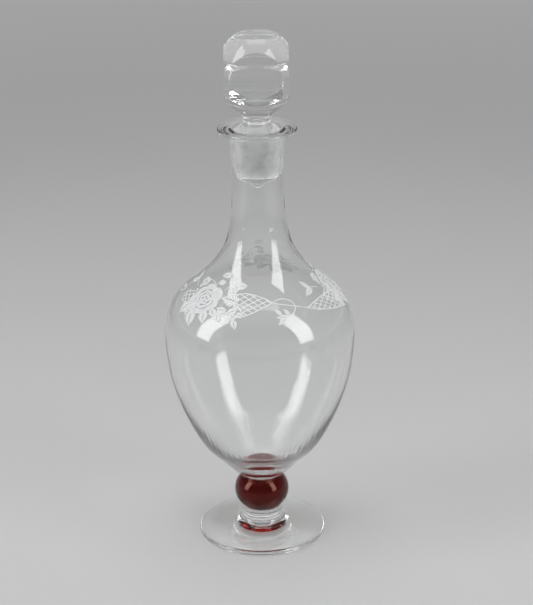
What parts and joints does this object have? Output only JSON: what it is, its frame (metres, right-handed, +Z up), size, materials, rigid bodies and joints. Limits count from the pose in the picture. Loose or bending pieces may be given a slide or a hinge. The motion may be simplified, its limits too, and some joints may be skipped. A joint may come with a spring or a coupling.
{
  "type": "glass decanter",
  "caption": "Footed clear glass decanter with a ruby knop, a pear-shaped bowl, a slim neck with a turned-out lip and a ground stopper that lifts out.",
  "frame": {"origin": "centre of the foot's underside, on the surface that the decanter stands on", "axes": "+Z up along the decanter's axis; two of the finial's four panels face -Y and +Y"},
  "size_m": [0.1194, 0.1194, 0.3301],
  "materials": {
    "clear_glass": "polished",
    "ruby_glass": "polished"
  },
  "bodies": {
    "decanter": {"foot": "clear_glass", "collar": "clear_glass", "ruby_knop": "ruby_glass", "bowl": "clear_glass"},
    "stopper": {"stopper": "clear_glass"}
  },
  "joints": [
    {"name": "stopper_lift", "type": "slide", "parent": "decanter", "child": "stopper", "axis": [0, 0, 1], "range_m": [0, 0.06]}
  ]
}
